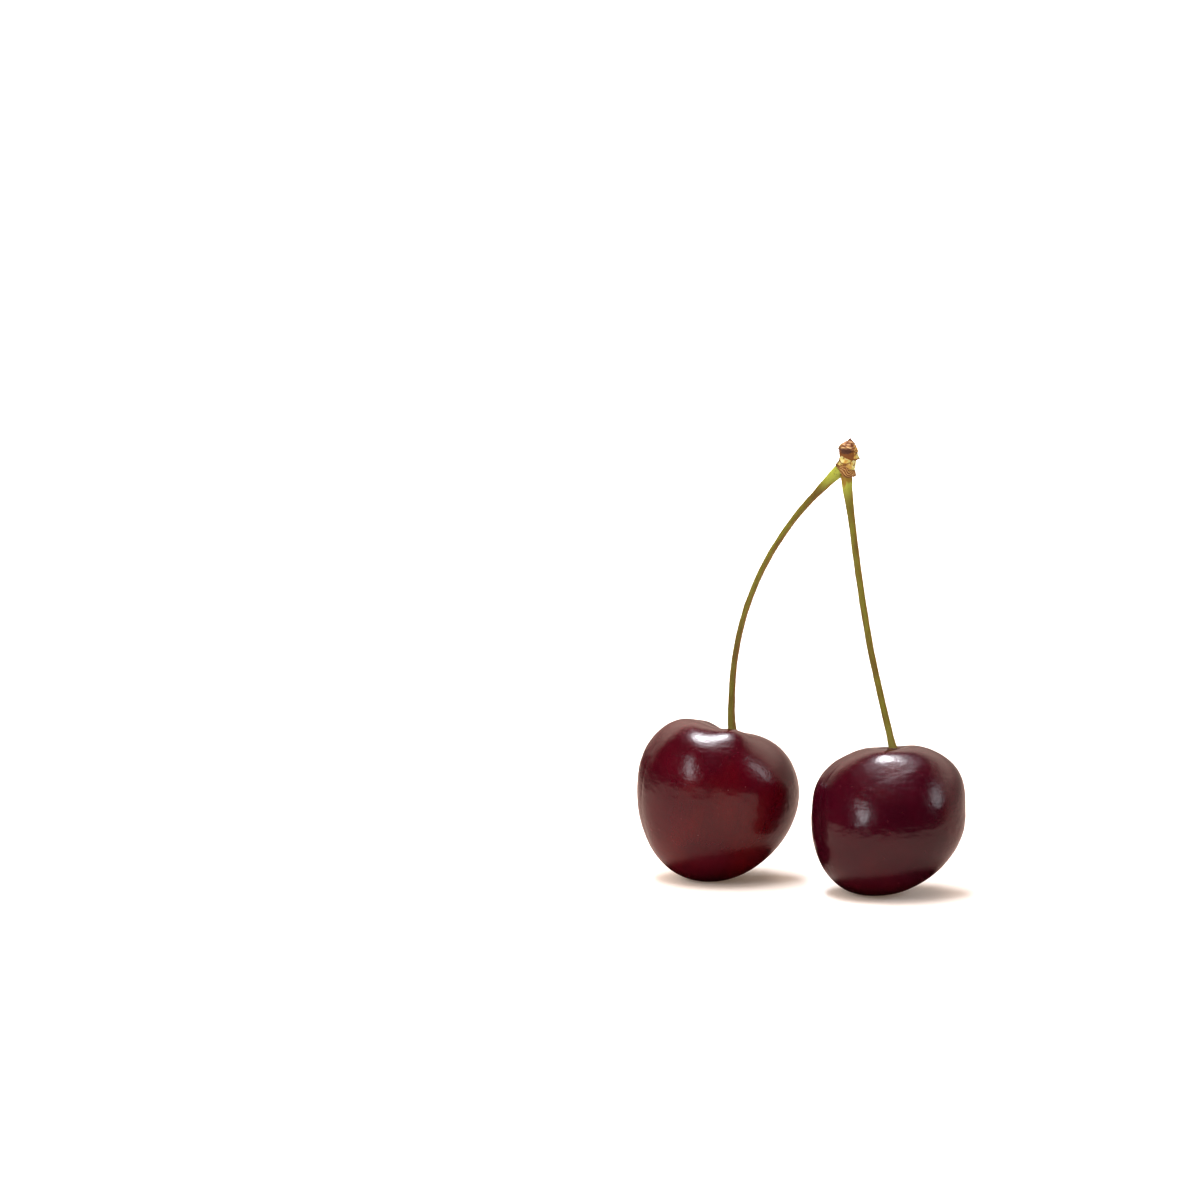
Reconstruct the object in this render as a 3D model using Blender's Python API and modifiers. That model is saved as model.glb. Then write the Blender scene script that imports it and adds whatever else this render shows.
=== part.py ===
"""A pair of sweet cherries on long stalks that grow from one short spur.

The pair stands on its two fruits with the stalks up. The stalks lean together and meet under the
spur, which is wrapped in the dry scales of the bud that it grew from. Sizes are in millimetres and
become metres as each mesh is made. The origin is under the middle of the pair, on the surface that
the fruits stand on. +X is to the right of the pair and -Y is its front.
"""

import math
from dataclasses import dataclass

import bmesh
import bpy
from mathutils import Vector

MM = 0.001

# Points nearer than this, in metres, are one point.
TOUCHING = 1e-6

# How finely the round pieces are divided.
FRUIT_SEGMENTS = 40
FRUIT_RINGS = 26
STALK_STEPS = 34
STALK_BEVEL_RESOLUTION = 3
SPUR_STEPS = 20
SCALE_CELLS_ROUND = 12
SCALE_CELLS_DOWN = 5

# A ripe fruit settles a little on the surface, which presses a small flat on its underside.
REST_FLAT = 0.25

# The suture is a shallow furrow down one side of a cherry, this wide in radians about its axis.
SUTURE_WIDTH = 0.16

# How sharply the fullness of the shoulders gives way to that of the foot at a fruit's waist.
WAIST_SHARPNESS = 6.0

# out * (1 + up) reaches this at the shoulders of a sphere, where a lift is felt in full.
SHOULDER_PEAK = 1.3

# Gap left between the end of a stalk and the skin in the hollow below it.
STALK_GAP = 0.35


@dataclass
class Fruit:
    """One cherry, described in its own frame: its axis is Z, from the foot up to the stalk hollow."""

    width: float
    depth: float
    height: float
    taper: float  # above 0, the shoulders are wider than the foot
    shoulder_fullness: float
    foot_fullness: float
    side_lift: float  # raises the +X shoulder and lowers the -X one
    back_lift: float  # raises the back shoulder and lowers the front one
    cheek_lift: float  # raises both side shoulders over the front and back ones
    foot_shift: float  # moves the foot along X
    foot_back: float  # moves the foot along Y
    depth_taper: float  # above 0, the shoulders are deeper from front to back than the foot
    depth_fullness: float  # fills out the front and back of the shoulders
    hollow_depth: float
    hollow_radius: float
    hollow_place: tuple
    swellings: tuple  # low lumps of the shoulder: x, y, radius and height of each
    seat: tuple  # where the stalk grows, on a ball of radius 1 seen from above
    suture_depth: float
    suture_angle: float  # degrees round from +X
    nod: float  # degrees that the top leans towards the front
    lean: float  # degrees that the top leans towards +X
    stands_at: tuple


FRUITS = {
    "fruit_left": Fruit(
        width=27.39,
        depth=26.43,
        height=27.45,
        taper=0.068,
        shoulder_fullness=-0.109,
        foot_fullness=-0.044,
        side_lift=-0.78,
        back_lift=-1.76,
        cheek_lift=2.15,
        foot_shift=-0.65,
        foot_back=-0.5,
        depth_taper=0.0,
        depth_fullness=0.436,
        hollow_depth=2.01,
        hollow_radius=4.8,
        hollow_place=(-1.02, 0.3),
        swellings=((1.0, 0.3, 2.8, 0.38), (-3.6, 2.5, 2.2, 0.6), (-0.8, -4.9, 3.0, 0.78)),
        seat=(0.014, 0.02),
        suture_depth=0.12,
        suture_angle=198.0,
        nod=3.69,
        lean=12.5,
        stands_at=(-14.0, 5.79),
    ),
    "fruit_right": Fruit(
        width=25.44,
        depth=24.55,
        height=25.57,
        taper=0.007,
        shoulder_fullness=0.406,
        foot_fullness=-0.008,
        side_lift=0.73,
        back_lift=0.07,
        cheek_lift=0.3,
        foot_shift=-2.4,
        foot_back=0.11,
        depth_taper=-0.13,
        depth_fullness=-0.576,
        hollow_depth=1.39,
        hollow_radius=3.0,
        hollow_place=(-0.03, 0.0),
        swellings=(),
        seat=(0.043, 0.0),
        suture_depth=0.12,
        suture_angle=204.0,
        nod=-3.49,
        lean=1.34,
        stands_at=(14.39, -6.85),
    ),
}

# Each stalk's route and radius above its fruit, up to its swollen end under the spur.
STALKS = {
    "stalk_left": {
        "fruit": "fruit_left",
        "route": [
            (-11.38, 5.42, 29.0, 0.6),
            (-10.87, 4.12, 37.5, 0.53),
            (-9.02, 2.82, 46.2, 0.51),
            (-5.75, 1.62, 54.3, 0.51),
            (-1.38, 0.57, 61.35, 0.52),
            (2.6, -0.13, 66.1, 0.66),
            (6.43, -0.73, 70.0, 0.95),
        ],
    },
    "stalk_right": {
        "fruit": "fruit_right",
        "route": [
            (14.6, -5.73, 26.3, 0.6),
            (13.2, -5.18, 32.3, 0.56),
            (11.5, -4.38, 40.0, 0.56),
            (10.12, -3.73, 48.0, 0.56),
            (8.95, -3.08, 56.0, 0.57),
            (8.15, -2.53, 62.3, 0.61),
            (7.6, -2.23, 66.7, 0.8),
            (7.34, -1.98, 69.2, 0.85),
        ],
    },
}
STALK_FOOT_RADIUS = 0.6

# The spur stands on its lower end between the two stalks. Its profile runs from the broken tip down.
SPUR_FOOT = (7.46, -1.38, 69.8)
SPUR_LEAN = 4.75
SPUR_PROFILE = [
    (0.0, 5.42),
    (0.2, 5.3),
    (0.75, 4.8),
    (1.2, 4.25),
    (1.42, 3.7),
    (1.42, 3.0),
    (1.3, 2.2),
    (1.2, 1.4),
    (1.05, 0.8),
    (0.7, 0.3),
    (0.0, 0.0),
]


@dataclass
class Scale:
    """A dry scale that hugs the spur.

    Angles are degrees round the spur from +X, with -90 in front. Heights are above the spur's foot.
    """

    begins: float
    ends: float
    top: float
    rim: float
    rim_slope: float  # how much lower the rim is on the +X side than at the front
    point: float  # how far the middle of the rim hangs below its corners
    top_radius: float
    rim_radius: float
    colour: tuple


# Linear colours and the roughness of each finish.
CHERRY_SKIN = (0.1, 0.003, 0.012)
STALK_GREEN = (0.22, 0.19, 0.03)
PAPER_BROWN = (0.27, 0.12, 0.045)
BRACT_YELLOW = (0.58, 0.48, 0.16)
DARK_BROWN = (0.14, 0.055, 0.025)
SKIN_ROUGHNESS = 0.15
STALK_ROUGHNESS = 0.5
SPUR_ROUGHNESS = 0.6
SCALE_ROUGHNESS = 0.7

# A scale is this thick, and stands off the spur quickly at first and then more slowly.
SCALE_THICKNESS = 0.12
SCALE_FLARE = 0.8

SCALES = {
    "collar_scale_front": Scale(-150.0, -35.0, 1.1, -0.1, 0.5, 0.3, 1.3, 1.62, PAPER_BROWN),
    "collar_scale_right": Scale(-50.0, 70.0, 1.1, -0.1, 0.5, 0.3, 1.46, 1.8, PAPER_BROWN),
    "collar_scale_back": Scale(42.0, 95.0, 1.1, -0.1, 0.5, 0.3, 1.3, 1.62, PAPER_BROWN),
    "bract_lower": Scale(-150.0, 20.0, 2.3, 0.9, 0.3, 0.3, 1.44, 1.86, BRACT_YELLOW),
    "bract_back": Scale(35.0, 165.0, 2.3, 0.9, 0.3, 0.3, 1.44, 1.86, BRACT_YELLOW),
    "bract_upper": Scale(-140.0, 60.0, 3.4, 1.65, -0.4, 0.3, 1.56, 2.0, BRACT_YELLOW),
    "tip_scale": Scale(-50.0, 110.0, 4.75, 3.75, 0.0, 0.15, 0.98, 1.54, DARK_BROWN),
}


def clear_scene():
    for obj in list(bpy.data.objects):
        bpy.data.objects.remove(obj)


def new_collection(name):
    collection = bpy.data.collections.new(name)
    bpy.context.scene.collection.children.link(collection)
    return collection


def material(name, colour, roughness):
    made = bpy.data.materials.new(name)
    made.use_nodes = True
    shader = made.node_tree.nodes["Principled BSDF"]
    shader.inputs["Base Color"].default_value = (*colour, 1.0)
    shader.inputs["Roughness"].default_value = roughness
    shader.inputs["Metallic"].default_value = 0.0
    return made


def add_mesh_object(name, bm, skin, collection):
    mesh = bpy.data.meshes.new(name)
    bm.to_mesh(mesh)
    bm.free()
    mesh.shade_smooth()
    mesh.materials.append(skin)
    obj = bpy.data.objects.new(name, mesh)
    collection.objects.link(obj)
    return obj


def hollow_at(fruit, x, y):
    """How far the stalk hollow sinks the skin at a place seen from above."""
    away = (x - fruit.hollow_place[0]) ** 2 + (y - fruit.hollow_place[1]) ** 2
    return fruit.hollow_depth * math.exp(-away / fruit.hollow_radius**2)


def swelling_at(fruit, x, y):
    """How far the shoulder's lumps raise the skin at a place seen from above."""
    rise = 0.0
    for middle_x, middle_y, radius, height in fruit.swellings:
        rise += height * math.exp(-((x - middle_x) ** 2 + (y - middle_y) ** 2) / radius**2)
    return rise


def skin_point(fruit, direction):
    """The point of the fruit's skin that a point of the unit sphere becomes."""
    down = math.acos(max(-1.0, min(1.0, direction.z)))
    around = math.atan2(direction.y, direction.x)
    out = math.sin(down)
    up = math.cos(down)

    upper = 0.5 * (1 + math.tanh(WAIST_SHARPNESS * up))
    fullness = fruit.shoulder_fullness * upper + fruit.foot_fullness * (1 - upper)
    girth = out * (1 + fullness * (up * out) ** 2) * (1 + fruit.taper * up)

    turn = math.remainder(around - math.radians(fruit.suture_angle), 2 * math.pi)
    furrow = fruit.suture_depth * out * math.exp(-((turn / SUTURE_WIDTH) ** 2))
    girth *= 1 - furrow / (fruit.width / 2)

    girth_deep = girth * (1 + fruit.depth_taper * up + fruit.depth_fullness * upper * (up * out) ** 2)
    x = fruit.width / 2 * girth * math.cos(around)
    y = fruit.depth / 2 * girth_deep * math.sin(around)
    if up < 0:
        x += fruit.foot_shift * up**2
        y += fruit.foot_back * up**2

    shoulder = out * (1 + up) / SHOULDER_PEAK
    z = fruit.height / 2 * up
    z += shoulder * (fruit.side_lift * math.cos(around) + fruit.back_lift * math.sin(around))
    z += shoulder * fruit.cheek_lift * out * math.cos(2 * around)
    if up > 0:
        z += swelling_at(fruit, x, y) - hollow_at(fruit, x, y)
    return Vector((x, y, z)) * MM


def make_fruit(name, fruit, skin, collection):
    """A sphere shaped into a cherry, leant over, and flattened where it touches the surface."""
    bm = bmesh.new()
    bmesh.ops.create_uvsphere(bm, u_segments=FRUIT_SEGMENTS, v_segments=FRUIT_RINGS, radius=1.0)
    for vert in bm.verts:
        vert.co = skin_point(fruit, vert.co.normalized())

    obj = add_mesh_object(name, bm, skin, collection)
    obj.rotation_euler = (math.radians(fruit.nod), math.radians(fruit.lean), 0)
    turn = obj.rotation_euler.to_matrix()
    lowest = min((turn @ vert.co).z for vert in obj.data.vertices)
    obj.location = (fruit.stands_at[0] * MM, fruit.stands_at[1] * MM, -lowest - REST_FLAT * MM)

    bm = bmesh.new()
    bm.from_mesh(obj.data)
    cut = bmesh.ops.bisect_plane(
        bm,
        geom=bm.verts[:] + bm.edges[:] + bm.faces[:],
        dist=TOUCHING,
        plane_co=turn.inverted() @ Vector((0, 0, -obj.location.z)),
        plane_no=turn.inverted() @ Vector((0, 0, 1)),
        clear_inner=True,
    )
    rim = [piece for piece in cut["geom_cut"] if isinstance(piece, bmesh.types.BMEdge)]
    flat = bmesh.ops.edgeloop_fill(bm, edges=rim)["faces"]
    for face in flat:
        face.smooth = False
    bmesh.ops.recalc_face_normals(bm, faces=bm.faces[:])
    bm.to_mesh(obj.data)
    bm.free()
    return obj


def stalk_foot(fruit_object, fruit):
    """The end of the stalk, just clear of its seat in the hollow, in the pair's frame."""
    x, y = fruit.seat
    seat = skin_point(fruit, Vector((x, y, math.sqrt(1 - x**2 - y**2))))
    foot = fruit_object.rotation_euler.to_matrix() @ seat + fruit_object.location
    return (foot.x / MM, foot.y / MM, foot.z / MM + STALK_GAP, STALK_FOOT_RADIUS)


def between(p, q, r, s, t):
    """A Catmull-Rom curve's value a share t of the way from q to r, with p before and s after them."""
    slope = (r - p) / 2
    next_slope = (s - q) / 2
    rise = r - q
    return q + slope * t + (3 * rise - 2 * slope - next_slope) * t**2 + (slope + next_slope - 2 * rise) * t**3


def smooth_route(points, steps):
    """Points along a smooth curve through the given ones. A point is a place and a radius."""
    ends = [points[0], *points, points[-1]]
    spans = len(points) - 1
    route = []
    for step in range(steps + 1):
        along = step / steps * spans
        span = min(int(along), spans - 1)
        t = along - span
        route.append([between(*values, t) for values in zip(*ends[span : span + 4])])
    return route


def make_stalk(name, points, skin, collection):
    """A round stalk along a smooth route, thicker where its radius says so."""
    curve = bpy.data.curves.new(name, "CURVE")
    curve.dimensions = "3D"
    curve.bevel_depth = MM
    curve.bevel_resolution = STALK_BEVEL_RESOLUTION
    curve.use_fill_caps = True
    route = smooth_route(points, STALK_STEPS)
    spline = curve.splines.new("POLY")
    spline.points.add(len(route) - 1)
    for point, (x, y, z, radius) in zip(spline.points, route):
        point.co = (x * MM, y * MM, z * MM, 1)
        point.radius = radius
    curve.materials.append(skin)
    obj = bpy.data.objects.new(name, curve)
    collection.objects.link(obj)
    return obj


def make_spur(skin, collection):
    """The spur's stubby body: a profile turned about its own axis, from the broken tip to the foot."""
    bm = bmesh.new()
    verts = [bm.verts.new((radius * MM, 0, height * MM)) for radius, height in SPUR_PROFILE]
    for upper, lower in zip(verts, verts[1:]):
        bm.edges.new((upper, lower))
    obj = add_mesh_object("spur", bm, skin, collection)
    screw = obj.modifiers.new("turn", "SCREW")
    screw.axis = "Z"
    screw.steps = SPUR_STEPS
    screw.render_steps = SPUR_STEPS
    screw.use_merge_vertices = True
    screw.merge_threshold = TOUCHING
    screw.use_smooth_shade = True
    obj.location = Vector(SPUR_FOOT) * MM
    obj.rotation_euler = (0, math.radians(SPUR_LEAN), 0)
    return obj


def scale_point(scale, across, down):
    """A point of a scale: across runs round the spur from 0 to 1, and down from the top to the rim."""
    angle = math.radians(scale.begins + (scale.ends - scale.begins) * across)
    rim = scale.rim - scale.rim_slope * math.cos(angle)
    rim -= scale.point * (math.sin(math.pi * across) - 0.5)
    height = scale.top + (rim - scale.top) * down
    radius = scale.top_radius + (scale.rim_radius - scale.top_radius) * down**SCALE_FLARE
    return Vector((radius * math.cos(angle), radius * math.sin(angle), height)) * MM


def make_scale(name, scale, skin, spur, collection):
    """A thin curved scale: a grid bent round the spur and given its thickness outwards."""
    bm = bmesh.new()
    bmesh.ops.create_grid(bm, x_segments=SCALE_CELLS_ROUND, y_segments=SCALE_CELLS_DOWN, size=0.5)
    for vert in bm.verts:
        vert.co = scale_point(scale, vert.co.x + 0.5, 0.5 - vert.co.y)
    obj = add_mesh_object(name, bm, skin, collection)
    shell = obj.modifiers.new("thickness", "SOLIDIFY")
    shell.thickness = SCALE_THICKNESS * MM
    shell.offset = 1
    obj.parent = spur
    return obj


def main():
    clear_scene()
    pair = new_collection("cherries_on_stalks")
    cherry_skin = material("cherry_skin", CHERRY_SKIN, SKIN_ROUGHNESS)
    stalk_green = material("stalk_green", STALK_GREEN, STALK_ROUGHNESS)
    spur_yellow = material("spur_yellow", BRACT_YELLOW, SPUR_ROUGHNESS)

    fruits = {name: make_fruit(name, fruit, cherry_skin, pair) for name, fruit in FRUITS.items()}
    for name, stalk in STALKS.items():
        foot = stalk_foot(fruits[stalk["fruit"]], FRUITS[stalk["fruit"]])
        make_stalk(name, [foot, *stalk["route"]], stalk_green, pair)

    spur = make_spur(spur_yellow, pair)
    for name, scale in SCALES.items():
        make_scale(name, scale, material(name, scale.colour, SCALE_ROUGHNESS), spur, pair)


main()
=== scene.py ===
# %% [markdown]
# # A pair of cherries on their stalks
#
# Two dark sweet cherries hang from long thin stalks that grow out of one short woody spur. Here they
# stand on a pale table with the stalks up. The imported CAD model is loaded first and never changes. Each
# of its parts is replaced below by a finer copy, built in the same place, and a few thin skins and torn
# scales are laid on top of them.

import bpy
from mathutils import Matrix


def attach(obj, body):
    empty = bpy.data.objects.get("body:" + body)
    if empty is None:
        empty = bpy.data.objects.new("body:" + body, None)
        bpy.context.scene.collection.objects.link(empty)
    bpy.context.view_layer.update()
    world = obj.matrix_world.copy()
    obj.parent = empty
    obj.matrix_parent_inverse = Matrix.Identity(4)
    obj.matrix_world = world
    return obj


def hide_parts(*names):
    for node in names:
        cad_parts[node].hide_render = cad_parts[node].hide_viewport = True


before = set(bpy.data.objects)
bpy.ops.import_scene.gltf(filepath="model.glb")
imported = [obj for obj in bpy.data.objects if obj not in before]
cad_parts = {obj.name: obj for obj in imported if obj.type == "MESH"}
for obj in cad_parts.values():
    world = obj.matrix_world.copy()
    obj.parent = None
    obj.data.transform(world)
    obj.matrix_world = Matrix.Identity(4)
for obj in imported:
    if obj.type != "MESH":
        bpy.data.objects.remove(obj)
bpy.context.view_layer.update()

# %% Libraries and units
import math
from types import SimpleNamespace as Shape

import bmesh
import bpy
from mathutils import Matrix, Vector, noise

MM = 0.001
FULL_TURN = 2 * math.pi
scene = bpy.context.scene
print(len(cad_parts), "CAD parts to replace")

# %% [markdown]
# ## The camera
#
# The cherries are seen from a little above table height, from far away through a long lens, so the two
# fruits look nearly the same distance off and their outlines hardly change with depth. The pair stands
# to the right of the middle of the view.

# %% Camera
LOOKS_DOWN = math.radians(8)
LENS_LENGTH = 162
FILM_WIDTH = 36
CAMERA_PLACE = (-0.03333, -0.88645, 0.17271)
SEES_AS_FAR_AS = 50

lens = bpy.data.cameras.new("camera")
lens.lens = LENS_LENGTH
lens.sensor_width = FILM_WIDTH
lens.clip_end = SEES_AS_FAR_AS
camera = bpy.data.objects.new("camera", lens)
camera.location = CAMERA_PLACE
camera.rotation_euler = (math.pi / 2 - LOOKS_DOWN, 0, 0)
scene.collection.objects.link(camera)
scene.camera = camera
print("camera at", [round(value, 3) for value in camera.location])

# %% [markdown]
# ## Shader maths in plain Python
#
# A material is a graph of small nodes. Writing `mask * 0.5 + 0.2` is easier to read than adding two Math
# nodes and linking them, so one small class wraps a socket and turns Python's operators into nodes.


# %% A socket that does sums
class Link:
    """A node's output. Sums on it add Math nodes to its graph."""

    def __init__(self, graph, socket):
        self.graph = graph
        self.socket = socket

    def math(self, operation, *values, clamp=False):
        return self.graph.add("Math", {"operation": operation, "use_clamp": clamp}, *values)

    def __add__(self, other):
        return self.math("ADD", self, other)

    def __radd__(self, other):
        return self.math("ADD", other, self)

    def __sub__(self, other):
        return self.math("SUBTRACT", self, other)

    def __rsub__(self, other):
        return self.math("SUBTRACT", other, self)

    def __mul__(self, other):
        return self.math("MULTIPLY", self, other)

    def __rmul__(self, other):
        return self.math("MULTIPLY", other, self)

    def __truediv__(self, other):
        return self.math("DIVIDE", self, other)

    def clamped(self):
        return self.math("ADD", self, 0.0, clamp=True)


# %% A graph of nodes
class Graph:
    """The nodes of a material or of the world."""

    def __init__(self, owner):
        owner.use_nodes = True
        self.owner = owner
        self.tree = owner.node_tree
        self.tree.nodes.clear()

    def add(self, kind, settings, *values, out=0, **named):
        """Adds a node. Its settings are set first, then its sockets in order or by name."""
        node = self.tree.nodes.new("ShaderNode" + kind)
        for key, setting in settings.items():
            setattr(node, key, setting)
        for place, value in [*enumerate(values), *named.items()]:
            key = place if isinstance(place, int) else place.replace("_", " ")
            if isinstance(value, Link):
                self.tree.links.new(value.socket, node.inputs[key])
            else:
                node.inputs[key].default_value = value
        return Link(self, node.outputs[out]) if node.outputs else None

    def mixed(self, factor, colour_a, colour_b):
        """colour_a where factor is 0 and colour_b where it is 1."""
        node = self.add("Mix", {"data_type": "RGBA"}, factor, out=2).socket.node
        for key, colour in ((6, colour_a), (7, colour_b)):
            if isinstance(colour, Link):
                self.tree.links.new(colour.socket, node.inputs[key])
            else:
                node.inputs[key].default_value = (*colour, 1.0)
        return Link(self, node.outputs[2])

    def attribute(self, name, out="Fac"):
        """A value stored on the mesh: Fac for a number, Vector for a place."""
        return self.add("Attribute", {"attribute_name": name}, out=out)

    def axis(self, vector, name):
        """One number of a vector: its X, Y or Z."""
        return self.add("SeparateXYZ", {}, vector, out=name)

    def measure(self, operation, *vectors):
        """A number worked out from vectors, such as their DISTANCE."""
        return self.add("VectorMath", {"operation": operation}, *vectors, out="Value")

    def place(self, vector, scale=(1, 1, 1), location=(0, 0, 0)):
        """A Mapping node, which moves and stretches a pattern's space."""
        return self.add("Mapping", {}, vector, Scale=scale, Location=location)

    def mottle(self, vector, scale, detail=3.0, roughness=0.5):
        """Soft cloudy noise from 0 to 1, with about `scale` spots per unit of the vector."""
        settings = {"noise_dimensions": "3D"}
        return self.add("TexNoise", settings, vector, Scale=scale, Detail=detail, Roughness=roughness)

    def ramp(self, value, low, high):
        """Smoothly from 0 where value is low to 1 where it is high."""
        settings = {"interpolation_type": "SMOOTHSTEP"}
        return self.add("MapRange", settings, value, From_Min=low, From_Max=high)

    def surface(self, colour, roughness, height, depth, **fixed):
        """Ends the graph in a Principled shader. depth is the relief's height in metres."""
        bump = self.add("Bump", {}, Height=height, Distance=depth, Strength=1.0)
        shader = self.add(
            "BsdfPrincipled", {}, Base_Color=colour, Roughness=roughness, Normal=bump, **fixed
        )
        self.add("OutputMaterial", {}, shader)
        return self.owner


def new_graph(name):
    return Graph(bpy.data.materials.new(name))


# %% [markdown]
# ## The table
#
# The table is a plain white sheet that runs on to the horizon. It glows a little far away, so that it
# meets the white behind it without an edge. Glossy fruit mirrors the table in its lower half, and a white
# table would hide the skin's colour there. A studio puts dark card just out of sight, but a card would
# show when the pair is seen from the side. So the table gives mirrored rays a darker, warmer tint instead,
# darker still at the back left, and nearly black under each fruit, where its own shade lies.

# %% Table
TABLE_SIZE = 6.0
TABLE_WHITE = (0.9, 0.9, 0.9)
TABLE_GLOW = 1.2
GLOW_BETWEEN = (0.3, 0.8)
MIRRORED_TABLE = (0.36, 0.27, 0.24)
MIRRORED_CORNER = (0.06, 0.045, 0.04)
CORNER_LEFT_BETWEEN = (-0.16, -0.05)
CORNER_BACK_BETWEEN = (0.03, 0.12)
MIRRORED_SHADE = (0.02, 0.012, 0.01)
SHADE_AROUND = [(-0.0118, 0.0052, 0.0124), (0.0147, -0.0074, 0.0112)]
SHADE_EDGE = 0.0012
BOUNCED = (0.12, 0.085, 0.062)

sheet = bmesh.new()
bmesh.ops.create_grid(sheet, x_segments=1, y_segments=1, size=TABLE_SIZE / 2)
table_mesh = bpy.data.meshes.new("table")
sheet.to_mesh(table_mesh)
sheet.free()
table = bpy.data.objects.new("table", table_mesh)
scene.collection.objects.link(table)

graph = new_graph("white_table")
spot = graph.add("TexCoord", {}, out="Object")
glow = graph.ramp(graph.measure("LENGTH", spot), *GLOW_BETWEEN) * TABLE_GLOW
to_left = 1 - graph.ramp(graph.axis(spot, "X"), *CORNER_LEFT_BETWEEN)
to_back = graph.ramp(graph.axis(spot, "Y"), *CORNER_BACK_BETWEEN)
tint = graph.mixed(to_left * to_back, MIRRORED_TABLE, MIRRORED_CORNER)
for x, y, reach in SHADE_AROUND:
    apart = graph.measure("DISTANCE", spot, (x, y, 0))
    under = 1 - graph.ramp(apart, reach - SHADE_EDGE, reach + SHADE_EDGE)
    tint = graph.mixed(under, tint, MIRRORED_SHADE)
mirrored = graph.add("LightPath", {}, out="Is Glossy Ray")
paper = graph.add("BsdfDiffuse", {}, Color=graph.mixed(mirrored, TABLE_WHITE, tint))
far = graph.add("Emission", {}, Color=graph.mixed(mirrored, (1, 1, 1), tint), Strength=glow)
bounced = graph.add("Emission", {}, Color=(*BOUNCED, 1), Strength=1 - mirrored)
sheets = graph.add("AddShader", {}, graph.add("AddShader", {}, paper, far), bounced)
graph.add("OutputMaterial", {}, sheets)
table_mesh.materials.append(graph.owner)
print("table:", TABLE_SIZE, "m across")

# %% [markdown]
# ## The sky
#
# The rims of the fruits mirror what stands behind and beside them. This sky is pale at the back, brighter
# higher up and dark in front, which leaves the middle of each fruit its deep colour. Only mirrored rays
# see it so: the camera sees plain white, and rays that just light a surface get an even warm grey.

# %% Sky
SKY_COLOUR = (0.62, 0.46, 0.385)
SKY_BACK_BETWEEN = (0.1, 0.48)
SKY_TURNED_LEFT = 0.3
SKY_HIGH = 2.3
SKY_HIGH_BETWEEN = (0.25, 0.65)
SKY_TOP_BETWEEN = (0.72, 0.86)
LOW_LEFT_ACROSS = (-0.6, -0.3)
LOW_LEFT_UP = (0.02, 0.2)

world = bpy.data.worlds.new("studio")
scene.world = world
sky = Graph(world)
way = sky.add("TexCoord", {}, out="Generated")
across = sky.axis(way, "X")
back = sky.axis(way, "Y") + across * SKY_TURNED_LEFT
height = sky.axis(way, "Z")
low_left = (1 - sky.ramp(across, *LOW_LEFT_ACROSS)) * (1 - sky.ramp(height, *LOW_LEFT_UP))
brighter = 1 + sky.ramp(height, *SKY_HIGH_BETWEEN) * SKY_HIGH
below_top = 1 - sky.ramp(height, *SKY_TOP_BETWEEN)
lit = sky.ramp(back, *SKY_BACK_BETWEEN) * below_top * brighter * (1 - low_left)
pale_sky = sky.add("Background", {}, Color=(*SKY_COLOUR, 1), Strength=lit)

# %% [markdown]
# ## Windows in the sky
#
# What makes the skin look wet and round is the bright windows in it. An area light could be mirrored, but
# it shows as a hard-edged rectangle, and real windows on fruit fade at their edges. So each window is a
# patch of sky that is brightest in its middle and fades to nothing. The one overhead has a wide weak glow
# round it, as light has that comes through cloth.

# %% Windows
# For each: degrees round from the front, degrees up, half its width and height in degrees, brightness.
WINDOWS = {
    "overhead": (187, 84, 11, 12.5, 56),
    "overhead_glow": (188, 85, 28, 24, 4),
    "front_left": (-43, 29, 8, 21, 8),
    "right": (74, 33, 9, 20, 4.5),
}
COOL = (0.93, 0.95, 1.0)
BEHIND_FADES_BY = 0.1


def light_way(round_from_front, above):
    """The way to a light that is some degrees round from the front, towards +X, and some degrees up."""
    turn, rise = math.radians(round_from_front), math.radians(above)
    return Vector((math.sin(turn) * math.cos(rise), -math.cos(turn) * math.cos(rise), math.sin(rise)))


def sky_window(round_from_front, above, wide, tall, brightness):
    """How bright a window makes each part of the sky."""
    ahead = light_way(round_from_front, above)
    side = ahead.cross((0, 0, 1)).normalized()
    apart = 0.0
    for axis, reach in ((side, wide), (side.cross(ahead), tall)):
        share = sky.measure("DOT_PRODUCT", way, tuple(axis)) / math.sin(math.radians(reach))
        apart = apart + share * share
    in_front = sky.ramp(sky.measure("DOT_PRODUCT", way, tuple(ahead)), 0.0, BEHIND_FADES_BY)
    return (1 - sky.ramp(apart, 0.0, 1.0)) * in_front * brightness


brightness = sum(sky_window(*window) for window in WINDOWS.values())
windows = sky.add("Background", {}, Color=(*COOL, 1), Strength=brightness)
print(len(WINDOWS), "windows in the sky")

# %% Who sees which sky
SKY_ROUND = (0.45, 0.36, 0.3)
SEEN_WHITE = 1.2

shining_sky = sky.add("AddShader", {}, pale_sky, windows)
even_sky = sky.add("Background", {}, Color=(*SKY_ROUND, 1), Strength=1.0)
is_mirrored = sky.add("LightPath", {}, out="Is Glossy Ray")
studio_sky = sky.add("MixShader", {}, is_mirrored, even_sky, shining_sky)
white_sky = sky.add("Background", {}, Color=(1, 1, 1, 1), Strength=SEEN_WHITE)
is_camera = sky.add("LightPath", {}, out="Is Camera Ray")
sky.add("OutputWorld", {}, sky.add("MixShader", {}, is_camera, studio_sky, white_sky))

# %% [markdown]
# ## Soft boxes
#
# Four area lights do the lighting and cast the shadows: a long one high on the left, narrow ones low at
# the left front and on the right, and a wide warm scrim overhead, which softens the shadows' edges. None
# of them is mirrored, because the windows in the sky stand for them there.

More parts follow.
